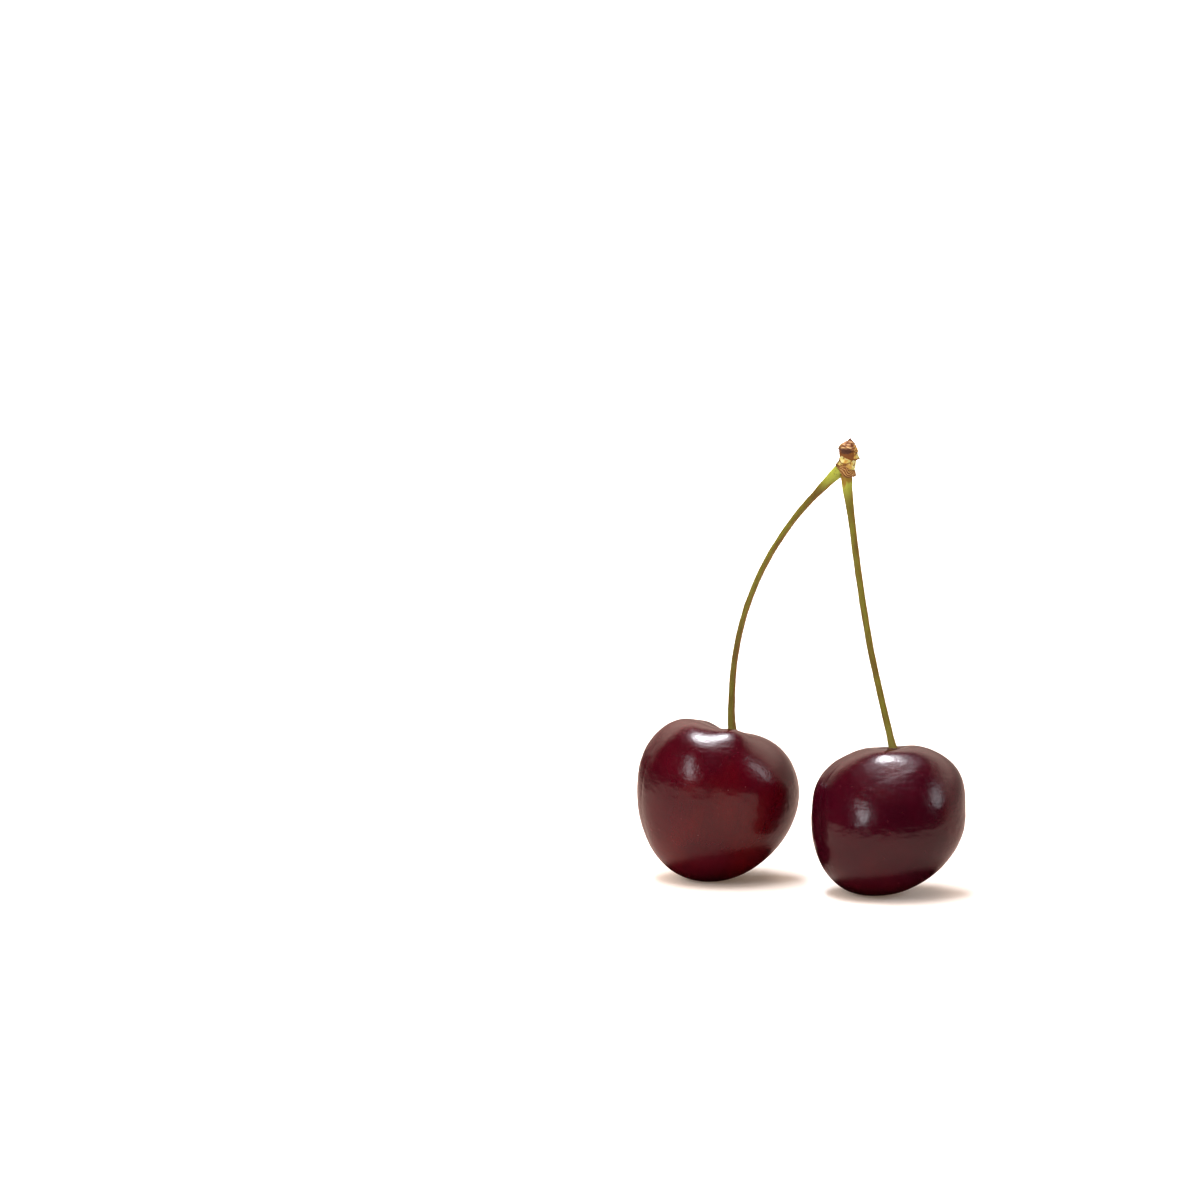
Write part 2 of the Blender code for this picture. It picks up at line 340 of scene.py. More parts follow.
# %% Soft boxes
# For each: degrees round from the front, degrees up, metres away, its size in metres, watts, colour.
PAIR_MIDDLE = Vector((0, 0, 0.018))
WARM = (1.0, 0.76, 0.6)
SOFT_BOXES = {
    "main_box": (-92, 80, 1.2, (1.5, 0.25), 22.0, COOL),
    "left_box": (-45, 25, 0.9, (0.09, 0.32), 1.8, COOL),
    "right_box": (79, 27, 0.9, (0.08, 0.42), 1.8, COOL),
    "overhead_scrim": (-90, 66, 1.2, (2.4, 2.4), 36.0, WARM),
}


def soft_box(name, round_from_front, above, distance, size, power, colour):
    """A rectangular light aimed at the pair."""
    towards_box = light_way(round_from_front, above)
    data = bpy.data.lights.new(name, "AREA")
    data.shape = "RECTANGLE"
    data.size, data.size_y = size
    data.energy = power
    data.color = colour
    lamp = bpy.data.objects.new(name, data)
    lamp.location = PAIR_MIDDLE + towards_box * distance
    lamp.rotation_euler = towards_box.to_track_quat("Z", "Y").to_euler()
    lamp.visible_glossy = False
    scene.collection.objects.link(lamp)


for name, box in SOFT_BOXES.items():
    soft_box(name, *box)
scene.view_settings.view_transform = "Standard"
print(len(SOFT_BOXES), "soft boxes")

# %% [markdown]
# ## The shape of a cherry
#
# A cherry isn't a ball. Its shoulders are fuller than its foot, one shoulder stands higher than the other,
# and a hollow holds the stalk. A furrow, the suture, runs down one side. A ball of small faces is shaped
# by one function that says where each point of the ball ends up, which is easier to tune than pushing
# faces by hand, and gives the CAD fruit's shape, to a fraction of a millimetre, with many more faces.

# %% Measures of the two cherries, in millimetres and degrees
# A swelling is a low lump of the shoulder: its place across and deep, its radius and its height. The
# seat is where the stalk stands, and wrinkled_at the level of the waist's wrinkles, both on a ball of
# radius 1. drawn_from moves the patterns, so that the two fruits don't look alike.
CHERRIES = {
    "left": Shape(
        node="fruit_left", width=27.39, depth=26.43, height=27.45,
        taper=0.068, shoulder_fullness=-0.109, foot_fullness=-0.044,
        side_lift=-0.78, back_lift=-1.76, cheek_lift=2.15, foot_shift=-0.65, foot_back=-0.5,
        depth_taper=0.0, depth_fullness=0.436,
        hollow_depth=2.01, hollow_radius=4.8, hollow_place=(-1.02, 0.3), seat=(0.014, 0.02),
        swellings=[(1.0, 0.3, 2.8, 0.38), (-3.6, 2.5, 2.2, 0.6), (0.4, -5.7, 3.0, 0.92)],
        suture_angle=198.0, nod=3.69, lean=12.5, stands_at=(-14.0, 5.79),
        drawn_from=(0.0, 0.0, 0.0), wrinkled_at=0.2,
    ),
    "right": Shape(
        node="fruit_right", width=25.44, depth=24.55, height=25.57,
        taper=0.007, shoulder_fullness=0.406, foot_fullness=-0.008,
        side_lift=0.73, back_lift=0.07, cheek_lift=0.3, foot_shift=-2.4, foot_back=0.11,
        depth_taper=-0.13, depth_fullness=-0.576,
        hollow_depth=1.39, hollow_radius=3.0, hollow_place=(-0.03, 0.0), seat=(0.043, 0.0),
        swellings=[(-2.4, -5.2, 3.4, 0.35)],
        suture_angle=204.0, nod=-3.49, lean=1.34, stands_at=(14.39, -6.85),
        drawn_from=(41.0, 7.0, 23.0), wrinkled_at=-0.08,
    ),
}
REST_FLAT = 0.25
SUTURE_DEPTH = 0.12
SUTURE_WIDTH = 0.16
WAIST_SHARPNESS = 6.0
SHOULDER_PEAK = 1.3
for side, cherry in CHERRIES.items():
    print(side, "cherry:", cherry.width, "mm wide and", cherry.height, "mm tall")


# %% From a ball to a cherry
def suture_turn(cherry, direction):
    """The angle round the fruit from its suture, in radians."""
    around = math.atan2(direction.y, direction.x)
    return math.remainder(around - math.radians(cherry.suture_angle), FULL_TURN)


def at_suture(cherry, direction):
    """1 in the suture's line, fading to 0 beside it and at the fruit's poles."""
    out = math.sqrt(max(0.0, 1 - direction.z**2))
    return out * math.exp(-((suture_turn(cherry, direction) / SUTURE_WIDTH) ** 2))


def skin_point(cherry, direction):
    """Where a point of a ball of radius 1 lies on the fruit's skin, in millimetres."""
    up = max(-1.0, min(1.0, direction.z))
    out = math.sqrt(1 - up**2)
    around = math.atan2(direction.y, direction.x)
    upper = 0.5 * (1 + math.tanh(WAIST_SHARPNESS * up))
    fullness = cherry.shoulder_fullness * upper + cherry.foot_fullness * (1 - upper)
    girth = out * (1 + fullness * (up * out) ** 2) * (1 + cherry.taper * up)
    girth *= 1 - SUTURE_DEPTH * at_suture(cherry, direction) / (cherry.width / 2)
    deep = girth * (1 + cherry.depth_taper * up + cherry.depth_fullness * upper * (up * out) ** 2)
    x = cherry.width / 2 * girth * math.cos(around)
    y = cherry.depth / 2 * deep * math.sin(around)
    shoulder = out * (1 + up) / SHOULDER_PEAK
    z = cherry.height / 2 * up
    z += shoulder * (cherry.side_lift * math.cos(around) + cherry.back_lift * math.sin(around))
    z += shoulder * cherry.cheek_lift * out * math.cos(2 * around)
    if up < 0:
        x += cherry.foot_shift * up**2
        y += cherry.foot_back * up**2
    else:
        away = (x - cherry.hollow_place[0]) ** 2 + (y - cherry.hollow_place[1]) ** 2
        z -= cherry.hollow_depth * math.exp(-away / cherry.hollow_radius**2)
        for middle_x, middle_y, radius, height in cherry.swellings:
            z += height * math.exp(-((x - middle_x) ** 2 + (y - middle_y) ** 2) / radius**2)
    return Vector((x, y, z))


def cherry_turn(cherry):
    """How the fruit leans as it stands."""
    nod = Matrix.Rotation(math.radians(cherry.nod), 3, "X")
    return Matrix.Rotation(math.radians(cherry.lean), 3, "Y") @ nod


# %% [markdown]
# ## The skin's relief
#
# Ripe skin looks smooth until a light is mirrored in it: then broad dents, shallow wrinkles that run
# round the fruit, and puckers beside the suture show. These are real shape, so they are made in the mesh,
# a few hundredths of a millimetre deep. Only the finest grain is left to the material.

# %% Relief of the skin
DENT_HEIGHT, DENT_SIZE = 0.075, 5.2
WAVE_HEIGHT, WAVE_SIZE = 0.022, 1.7
WRINKLE_HEIGHT, WRINKLE_SIZE, WRINKLE_STRETCH = 0.012, 0.8, 2.2
WAIST_WRINKLE, WAIST_BAND = 0.04, 0.13
FOOT_SMOOTHED, FOOT_BEGINS, FOOT_FADES_OVER = 0.65, -0.3, 0.4
PUCKER_HEIGHT, PUCKER_SIZE, PUCKER_REACH = 0.06, 1.1, 0.13
PUCKERS_ROUND, PUCKER_DRIFT = 6, 9
CREASE_DEPTH, CREASE_REACH = 0.08, 0.03
CREASE_WOBBLE, CREASE_WOBBLE_SIZE = 0.02, 2.5
CREASE_SHARE, CREASE_BREAK_SIZE, CREASE_START = 0.55, 1.7, 3.3


def skin_relief(cherry, direction, place):
    """How far the skin rises at a place, in millimetres."""
    spot = place + Vector(cherry.drawn_from)
    in_foot = max(0.0, min(1.0, (FOOT_BEGINS - direction.z) / FOOT_FADES_OVER))
    smoother = 1 - FOOT_SMOOTHED * in_foot
    height = DENT_HEIGHT * noise.noise(spot / DENT_SIZE)
    height += WAVE_HEIGHT * smoother * noise.noise(spot / WAVE_SIZE)
    flat = Vector((spot.x / WRINKLE_STRETCH, spot.y / WRINKLE_STRETCH, spot.z))
    waist = math.exp(-(((direction.z - cherry.wrinkled_at) / WAIST_BAND) ** 2))
    height += (WRINKLE_HEIGHT * smoother + WAIST_WRINKLE * waist) * noise.noise(flat / WRINKLE_SIZE)

    out = math.sqrt(max(0.0, 1 - direction.z**2))
    turn = suture_turn(cherry, direction)
    beside = out * math.exp(-((turn / PUCKER_REACH) ** 2))
    pucker = noise.noise(Vector((turn * PUCKERS_ROUND, spot.x / PUCKER_DRIFT, spot.z / PUCKER_SIZE)))
    height -= PUCKER_HEIGHT * beside * abs(pucker)
    wobble = CREASE_WOBBLE * noise.noise(Vector((0, 0, spot.z / CREASE_WOBBLE_SIZE)))
    uneven = CREASE_SHARE + noise.noise(Vector((CREASE_START, 0, spot.z / CREASE_BREAK_SIZE)))
    in_crease = out * math.exp(-(((turn - wobble) / CREASE_REACH) ** 2))
    return height - CREASE_DEPTH * max(0.0, uneven) * in_crease


# %% [markdown]
# ## From a bmesh to a finished piece
#
# Everything is modelled in millimetres, which suits a cherry, and scaled to metres at the end. A finished
# piece stays at the origin with its place in its mesh, rides on the pair's one body, and takes the place
# of its CAD part if it has one. All pieces go through one function, so none can miss a step.


# %% Finish a piece
def finish_piece(name, bm, node, skin):
    """Makes an object of a bmesh in millimetres. It stands for the CAD node, where there is one."""
    bmesh.ops.scale(bm, vec=(MM, MM, MM), verts=bm.verts[:])
    mesh = bpy.data.meshes.new(name)
    bm.to_mesh(mesh)
    bm.free()
    mesh.shade_smooth()
    mesh.materials.append(skin)
    piece = bpy.data.objects.new(name, mesh)
    scene.collection.objects.link(piece)
    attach(piece, "root")
    if node:
        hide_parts(node)
    print(f"{name}: {len(mesh.polygons)} faces")
    return piece


# %% [markdown]
# ## Cherry skin
#
# Dark cherries are nearly black-red where they are ripest, with clearer red where the flesh shows
# through, faint streaks that run from stalk to foot, and tiny pale pores. Over it lies clear wax, which
# is what shines. All patterns are read from the point's place in the fruit's own frame, stored on the
# mesh as `skin_place`, so they follow the fruit and not the table. Their scales are spots in each
# millimetre, and a small scale along one axis draws a spot out into a streak.

# %% Material: cherry skin
PORE_SPACING = 1.1
PORE_RADIUS = (0.07, 0.13)
PORE_COLOUR = (0.26, 0.06, 0.05)
WAX_ROUGHNESS = 0.19
WAX_IOR = 1.46
PEEL_HEIGHT = 0.05 * MM


def cherry_skin(name, deep, ripe, red, red_share):
    """A skin between two dark reds, with more of a clear red the greater red_share is."""
    graph = new_graph(name)
    place = graph.attribute("skin_place", out="Vector")
    clouds = graph.mottle(place, 0.11, detail=4.0)
    patches = graph.mottle(graph.place(place, scale=(1, 1, 0.6), location=(7, 3, 5)), 0.1, detail=2.0)
    streaks = graph.mottle(graph.place(place, scale=(1, 1, 0.12)), 1.3, detail=3.0)
    grain = graph.mottle(place, 1.6, detail=3.0)

    colour = graph.mixed(graph.ramp(clouds, 0.25, 0.75), deep, ripe)
    reddish = graph.ramp(patches, 0.5 - red_share, 0.85 - red_share) * (0.45 + grain * 0.6)
    colour = graph.mixed(reddish.clamped(), colour, red)
    colour = graph.mixed(graph.ramp(streaks, 0.52, 0.75) * 0.35, colour, deep)

    suture = graph.attribute("suture")
    colour = graph.mixed(suture * 0.6, colour, deep)
    # Painted shade: the skin is darker and more purple in the stalk's hollow.
    hollow = graph.attribute("hollow")
    hollow_shade = (deep[0] * 0.8, deep[1] * 1.3, deep[2] * 1.4)
    colour = graph.mixed(hollow * 0.7, colour, hollow_shade)

    from_pore = graph.add(
        "TexVoronoi", {"feature": "F1"}, place, Scale=1 / PORE_SPACING, Randomness=1.0, out="Distance"
    )
    open_ones = graph.ramp(graph.mottle(place, 0.9, detail=0.0), 0.5, 0.62)
    pores = (1 - graph.ramp(from_pore, *PORE_RADIUS)) * open_ones
    colour = graph.mixed(pores * 0.08, colour, PORE_COLOUR)

    peel = graph.mottle(place, 1.2, detail=2.0)
    lines = graph.mottle(graph.place(place, scale=(0.5, 0.5, 1.6)), 0.9, detail=1.0)
    orange_peel = graph.mottle(place, 2.6, detail=0.0)
    height = peel * 0.5 + lines * 0.5 + orange_peel * 0.22
    roughness = WAX_ROUGHNESS + graph.ramp(grain, 0.35, 0.75) * 0.08 + pores * 0.06
    return graph.surface(colour, roughness, height, PEEL_HEIGHT, IOR=WAX_IOR)


# For each: the deepest red, the ripe red, the clearest red, and how much there is of the clearest.
CHERRY_REDS = {
    "left": ((0.025, 0.0002, 0.003), (0.044, 0.0002, 0.004), (0.066, 0.0002, 0.001), 0.06),
    "right": ((0.017, 0.0002, 0.003), (0.029, 0.0002, 0.004), (0.046, 0.0002, 0.001), 0.0),
}
skins = {side: cherry_skin(f"cherry_skin_{side}", *reds) for side, reds in CHERRY_REDS.items()}
print(len(skins), "skins")

# %% Build the cherries
FACES_ROUND = 320
FACES_DOWN = 168
HOLLOW_SHADE_REACH = 0.7


def build_cherry(side, cherry):
    """Shapes a ball into the fruit, leans it, and stands it on the table on a small flat."""
    bm = bmesh.new()
    bmesh.ops.create_uvsphere(bm, u_segments=FACES_ROUND, v_segments=FACES_DOWN, radius=1.0)
    layers = bm.verts.layers
    skin_place = layers.float_vector.new("skin_place")
    suture = layers.float.new("suture")
    hollow = layers.float.new("hollow")
    turn = cherry_turn(cherry)
    for vert in bm.verts:
        direction = vert.co.normalized()
        place = skin_point(cherry, direction)
        vert[skin_place] = place + Vector(cherry.drawn_from)
        vert[suture] = at_suture(cherry, direction)
        # The hollow mask carries the painted shade that the skin gets in the stalk's hollow.
        near = (place.x - cherry.hollow_place[0]) ** 2 + (place.y - cherry.hollow_place[1]) ** 2
        in_hollow = math.exp(-near / (HOLLOW_SHADE_REACH * cherry.hollow_radius) ** 2)
        vert[hollow] = in_hollow if direction.z > 0 else 0.0
        vert.co = turn @ (place + direction * skin_relief(cherry, direction, place))
    lowest = min(vert.co.z for vert in bm.verts)
    stand = Vector((*cherry.stands_at, -lowest - REST_FLAT))
    for vert in bm.verts:
        vert.co += stand
        vert.co.z = max(0.0, vert.co.z)
    x, y = cherry.seat
    seat = Vector((x, y, math.sqrt(1 - x**2 - y**2)))
    cherry.seat_at = turn @ skin_point(cherry, seat) + stand
    return finish_piece(f"cherry_{side}", bm, cherry.node, skins[side])


for side, cherry in CHERRIES.items():
    build_cherry(side, cherry)
    print("stalk seat at", [round(value, 2) for value in cherry.seat_at])

# %% [markdown]
# ## Stalks
#
# A cherry stalk is about 1 mm thick, slightly ribbed, and swells where it leaves the spur. A bevelled
# curve would make a smooth wire of it. Here a ring of points is extruded along a smooth curve through a
# few points, each with a radius, so the ribs and the small knots can be made in the mesh. Each point
# keeps its place along and round the stalk for the material to use.

# %% Routes of the stalks: x, y, z and radius in millimetres
STALKS = {
    "left": [
        (-11.38, 5.42, 29.0, 0.6),
        (-10.87, 4.12, 37.5, 0.53),
        (-9.02, 2.82, 46.2, 0.51),
        (-5.75, 1.62, 54.3, 0.51),
        (-1.38, 0.57, 61.35, 0.52),
        (2.6, -0.13, 66.1, 0.66),
        (6.35, -0.73, 69.95, 1.05),
    ],
    "right": [
        (14.6, -5.73, 26.3, 0.6),
        (13.2, -5.18, 32.3, 0.56),
        (11.5, -4.38, 40.0, 0.56),
        (10.12, -3.73, 48.0, 0.56),
        (8.95, -3.08, 56.0, 0.57),
        (8.15, -2.53, 62.3, 0.61),
        (7.56, -2.03, 66.7, 0.84),
        (7.34, -1.78, 69.2, 0.98),
    ],
}
STALK_STATIONS = 220
STALK_SIDES = 30


def between(p, q, r, s, t):
    """A Catmull-Rom curve's value a share t of the way from q to r, with p before and s after them."""
    slope = (r - p) / 2
    next_slope = (s - q) / 2
    rise = r - q
    square = 3 * rise - 2 * slope - next_slope
    cube = slope + next_slope - 2 * rise
    return q + slope * t + square * t**2 + cube * t**3


def smooth_route(points, steps):
    """Many rows of values that run smoothly through a few rows."""
    ends = [points[0], *points, points[-1]]
    spans = len(points) - 1
    route = []
    for step in range(steps + 1):
        along = step / steps * spans
        span = min(int(along), spans - 1)
        route.append([between(*values, along - span) for values in zip(*ends[span : span + 4])])
    return route


# %% Draw a tube along a route
def draw_tube(bm, route, sides, shape):
    """Extrudes a ring along the route. shape(length, angle) gives the radius as a share of the route's."""
    around = bm.verts.layers.float.new("around")
    stalk_place = bm.verts.layers.float_vector.new("stalk_place")
    ring = bmesh.ops.create_circle(bm, segments=sides, radius=1.0)["verts"]
    for vert in ring:
        vert[around] = math.atan2(vert.co.y, vert.co.x)
    first = bm.edges[:]
    edges = first
    places = [Vector(point[:3]) for point in route]
    side = Vector((1, 0, 0))
    length = 0.0
    for index, place in enumerate(places):
        if index:
            grown = bmesh.ops.extrude_edge_only(bm, edges=edges)["geom"]
            ring = [piece for piece in grown if isinstance(piece, bmesh.types.BMVert)]
            edges = [piece for piece in grown if isinstance(piece, bmesh.types.BMEdge)]
            length += (place - places[index - 1]).length
        ahead = (places[min(index + 1, len(places) - 1)] - places[max(index - 1, 0)]).normalized()
        side = (side - ahead * side.dot(ahead)).normalized()
        other = ahead.cross(side)
        for vert in ring:
            angle = vert[around]
            radius = route[index][3] * shape(length, angle)
            vert.co = place + (side * math.cos(angle) + other * math.sin(angle)) * radius
            vert[stalk_place] = (math.cos(angle), math.sin(angle), length)
    bmesh.ops.edgeloop_fill(bm, edges=first)
    bmesh.ops.edgeloop_fill(bm, edges=edges)
    bmesh.ops.recalc_face_normals(bm, faces=bm.faces[:])
    return length


# %% Ribs and knots
RIB_DEPTH = 0.045
RIB_TWIST, SMALL_RIB_TWIST = 0.06, 0.09
KNOT_HEIGHT, SMALL_KNOT_SHARE, SMALL_KNOTS = 0.07, 0.5, 2.7
KNOTS_ROUND, KNOTS_ALONG = 0.6, 0.55


def stalk_shape(seed):
    """The share of its radius that a stalk has at a length and an angle. Each seed has other knots."""

    def shape(length, angle):
        ribs = math.cos(3 * angle + length * RIB_TWIST + seed)
        ribs += 0.5 * math.cos(5 * angle - length * SMALL_RIB_TWIST)
        spot = Vector((math.cos(angle) * KNOTS_ROUND, math.sin(angle) * KNOTS_ROUND, 0))
        spot.z = length * KNOTS_ALONG + 10 * seed
        knots = noise.noise(spot) + SMALL_KNOT_SHARE * noise.noise(spot * SMALL_KNOTS)
        return 1 + RIB_DEPTH * ribs + KNOT_HEIGHT * knots

    return shape


# %% [markdown]
# ## Stalk green
#
# A stalk is olive green, paler where it was wrapped under the spur's scales and greyer by the fruit. One
# side of it is browner, partly browned by the sun and partly painted shade, and it has dark flecks. Its
# fibres run lengthwise, so the patterns are drawn out along it. The browned and shaded side is stored on
# the mesh, because it depends on which way the surface faces.

# %% Material: stalk
# The browner side faces down and to the right: partly sun browning, partly painted shade.
SUNBURNT_AND_SHADED_SIDE = Vector((0.75, -0.25, -0.6)).normalized()
PALE_BELOW_TOP = (5.5, 1.0)
BROWNED_AND_SHADED_BELOW_TOP = (3.2, 1.6)
GREY_FROM, GREY_SHARE = 0.5, 0.14
STAIN_EDGE, STAIN_RAGGED = 0.5, 3.2
FLECKS_PER_MM = 2.2
FLECK_RADIUS = (0.1, 0.22)
FIBRE_HEIGHT = 0.05 * MM


def stalk_green(name, length, stain_from):
    """The stalk's material. stain_from is where the stain at its top begins, in mm from its foot."""
    graph = new_graph(name)
    place = graph.attribute("stalk_place", out="Vector")
    along = graph.axis(place, "Z")
    sunburnt_and_shaded = graph.attribute("sunburnt_and_shaded")
    green, olive = (0.105, 0.1, 0.004), (0.08, 0.05, 0.003)
    pale, grey = (0.22, 0.25, 0.026), (0.15, 0.135, 0.026)
    brown, fleck = (0.17, 0.07, 0.01), (0.04, 0.016, 0.006)
    stain = (0.17, 0.092, 0.003)

    def near_top(begins, ends):
        return graph.ramp(along, length - begins, length - ends)

    clouds = graph.mottle(graph.place(place, scale=(0.6, 0.6, 0.35)), 1.0, detail=4.0)
    colour = graph.mixed(graph.ramp(clouds, 0.35, 0.7), green, olive)
    colour = graph.mixed(near_top(*PALE_BELOW_TOP), colour, pale)
    to_fruit = 1 - graph.ramp(along, GREY_FROM, length * GREY_SHARE)
    colour = graph.mixed(to_fruit * 0.8, colour, grey)

    patches = graph.mottle(graph.place(place, scale=(0.5, 0.5, 0.16)), 1.0, detail=3.0)
    # Painted shade, partly sun browning: browner on the side that faces down and to the right.
    browned_and_shaded = graph.ramp(sunburnt_and_shaded + patches * 0.9, 0.75, 1.35) * 0.7
    colour = graph.mixed(browned_and_shaded * (1 - near_top(*BROWNED_AND_SHADED_BELOW_TOP)), colour, brown)

    ragged = graph.mottle(graph.place(place, scale=(1.6, 1.6, 0.3)), 1.0, detail=3.0) * STAIN_RAGGED
    stained = graph.ramp(along + ragged, stain_from, stain_from + STAIN_EDGE)
    colour = graph.mixed(stained * 0.9, colour, stain)

    squeezed = graph.place(place, scale=(1, 1, 0.8))
    from_fleck = graph.add(
        "TexVoronoi", {"feature": "F1"}, squeezed, Scale=FLECKS_PER_MM, out="Distance"
    )
    chosen = graph.ramp(graph.mottle(place, 0.8, detail=1.0), 0.45, 0.6)
    flecks = (1 - graph.ramp(from_fleck, *FLECK_RADIUS)) * chosen
    colour = graph.mixed(flecks * 0.7, colour, fleck)

    fibres = graph.mottle(graph.place(place, scale=(5, 5, 0.5)), 1.0, detail=2.0)
    height = fibres * 0.6 + graph.mottle(place, 4.0) * 0.4 + flecks * 0.5
    return graph.surface(colour, 0.5 + clouds * 0.12, height, FIBRE_HEIGHT, IOR=1.38)


# %% Build the stalks
SINK_IN_SKIN = 0.35
FOOT_RADIUS = 0.78
STAIN_BEFORE_TOP = {"left": -2.0, "right": 0.1}
SEED_STEP = 1.7


def build_stalk(side, points, seed):
    """Draws a stalk from its fruit's seat through its points."""
    seat = CHERRIES[side].seat_at
    foot = (seat.x, seat.y, seat.z - SINK_IN_SKIN, FOOT_RADIUS)
    route = smooth_route([foot, *points], STALK_STATIONS)
    bm = bmesh.new()
    length = draw_tube(bm, route, STALK_SIDES, stalk_shape(seed))
    # How much each point faces the browned and shaded side, for the sun browning and painted shade.
    sunburnt_and_shaded = bm.verts.layers.float.new("sunburnt_and_shaded")
    bm.normal_update()
    for vert in bm.verts:
        vert[sunburnt_and_shaded] = max(0.0, vert.normal.dot(SUNBURNT_AND_SHADED_SIDE))
    print(f"{side} stalk: {length:.1f} mm long")
    green = stalk_green(f"stalk_{side}_green", length, length - STAIN_BEFORE_TOP[side])
    return finish_piece(f"stalk_{side}_fine", bm, f"stalk_{side}", green)


for seed, (side, points) in enumerate(STALKS.items()):
    build_stalk(side, points, SEED_STEP * seed)

# %% [markdown]
# ## Seat rings
#
# Where a stalk meets its fruit, a thin dark ring of dried skin is left round it. It is a small lip, spun
# from a few points round the stalk's foot, with a torn edge. Dried skin is dull and crumbly, so its
# material is two browns mixed by a fine grain, which also roughens it.

# %% Material: dried ring
CRUMBS_PER_METRE = 2500.0
CRUMB_HEIGHT = 0.04 * MM


def dried_ring():
    """Dull crumbly brown, for the dried skin at a stalk's foot."""
    graph = new_graph("dried_ring")
    spot = graph.add("TexCoord", {}, out="Object")
    crumbs = graph.mottle(spot, CRUMBS_PER_METRE, detail=3.0)
    colour = graph.mixed(graph.ramp(crumbs, 0.35, 0.65), (0.03, 0.01, 0.007), (0.09, 0.035, 0.016))
    return graph.surface(colour, 0.6 + crumbs * 0.2, crumbs, CRUMB_HEIGHT, IOR=1.4)


# %% Spin an outline
def spin_round(bm, outline, steps):
    """Spins the outline, its vertices and edges, once round the Z axis."""
    settings = {"axis": (0, 0, 1), "angle": FULL_TURN, "steps": steps, "use_merge": True}
    bmesh.ops.spin(bm, geom=outline, cent=(0, 0, 0), **settings)


# %% Build the seat rings
RING_OUTLINE = [(0.5, -0.25), (1.0, -0.2), (1.02, 0.22), (0.92, 0.36), (0.76, 0.38), (0.5, 0.2)]
RING_SIDES = 90
RING_TEAR, TEARS_PER_MM, TEAR_START = 0.12, 2.4, 5.0
FINER_TEARS = 1.7


def build_seat_ring(side, skin):
    """A torn lip round a stalk's foot."""
    bm = bmesh.new()
    verts = [bm.verts.new((radius, 0.0, height)) for radius, height in RING_OUTLINE]
    edges = [bm.edges.new(pair) for pair in zip(verts, [*verts[1:], verts[0]])]
    spin_round(bm, verts + edges, RING_SIDES)
    for vert in bm.verts:
        spot = Vector((vert.co.x * TEARS_PER_MM, vert.co.y * TEARS_PER_MM, TEAR_START + vert.co.z))
        vert.co.xy *= 1 + RING_TEAR * noise.noise(spot)
        vert.co.z += RING_TEAR * noise.noise(spot * FINER_TEARS) * (vert.co.z > 0)
    bmesh.ops.recalc_face_normals(bm, faces=bm.faces[:])
    stand = Matrix.Translation(CHERRIES[side].seat_at) @ cherry_turn(CHERRIES[side]).to_4x4()
    bmesh.ops.transform(bm, matrix=stand, verts=bm.verts[:])
    return finish_piece(f"seat_ring_{side}", bm, None, skin)


ring_skin = dried_ring()
for side in CHERRIES:
    build_seat_ring(side, ring_skin)

# %% [markdown]
# ## The spur
#
# The spur is the stub of bark that was broken off the branch. Its top is a rough brown break with a dent
# below it, darkened with painted shade, and its scales hide the rest. A half outline is spun into a solid,
# then its points are pushed about by noise and by the dent, as one would with a sculpting brush.

# %% Spur: outline and place
# Height on the spur's axis, and how far the bark reaches to the left and to the right of it. The last two
# rows only carry the collar, which hangs lower than the bark.
SPUR_FOOT = Vector((7.46, -1.38, 69.8))
SPUR_LEAN = math.radians(4.75)
SPUR_OUTLINE = [
    (5.6, 0.0, 0.0), (5.45, 0.1, 0.12), (5.2, 0.28, 0.32), (4.94, 0.56, 0.58), (4.7, 1.05, 0.78),
    (4.45, 1.34, 0.92), (4.2, 1.54, 1.04), (3.9, 1.66, 1.18), (3.6, 1.7, 1.3), (3.1, 1.66, 1.36),
    (2.6, 1.5, 1.38), (2.2, 1.36, 1.36), (1.7, 1.36, 1.32), (1.1, 1.38, 1.26), (0.5, 1.3, 1.16),
    (0.0, 1.1, 1.1), (-0.6, 1.02, 1.22), (-1.2, 0.95, 1.1),
]
SPUR_OUTLINE_STEPS = 110
SPUR_SIDES = 110
SPUR_STAND = Matrix.Translation(SPUR_FOOT) @ Matrix.Rotation(SPUR_LEAN, 4, "Y")


def on_spur(angle, radius, height):
    """A place beside the spur's axis. The angle is in degrees from +X, with -90 in front."""
    turn = math.radians(angle)
    return Vector((radius * math.cos(turn), radius * math.sin(turn), height))


def bark_radius(angle, height):
    """How far the plain bark reaches from the axis at an angle and a height."""
    share = 0.5 * (1 + math.cos(math.radians(angle)))
    for (high, left_high, right_high), (low, left_low, right_low) in zip(SPUR_OUTLINE, SPUR_OUTLINE[1:]):
        if height >= low:
            down = max(0.0, min(1.0, (high - height) / (high - low)))
            left = left_high + (left_low - left_high) * down
            right = right_high + (right_low - right_high) * down
            return left + (right - left) * share
    return left_low + (right_low - left_low) * share


# %% Spur: the break, the dent and the lumps
SCAR_ANGLE, SCAR_LEVEL, SCAR_HEIGHT, SCAR_DEPTH = -114.0, 3.32, 0.44, 0.4
FRONT_REACH = 0.8
LIP_LEVEL, LIP_HEIGHT, LIP_RISE, LIP_SHARE = 4.0, 0.13, 0.16, 0.6
LIP_WAVE, LIP_WAVES, LIP_TEARS = 0.1, 1.3, 2.2
LUMPS_ROUND, LUMPS_UP = 1.6, 1.25
LUMP_HEIGHT, SMALL_LUMP_HEIGHT, SMALLER_BY = 0.08, 0.06, 2.6
BREAK_LEVEL, BREAK_ROUGHNESS, BREAK_SUNK = 4.25, 0.3, 0.08
BREAK_ROUND, BREAK_UP = 2.4, 3.2


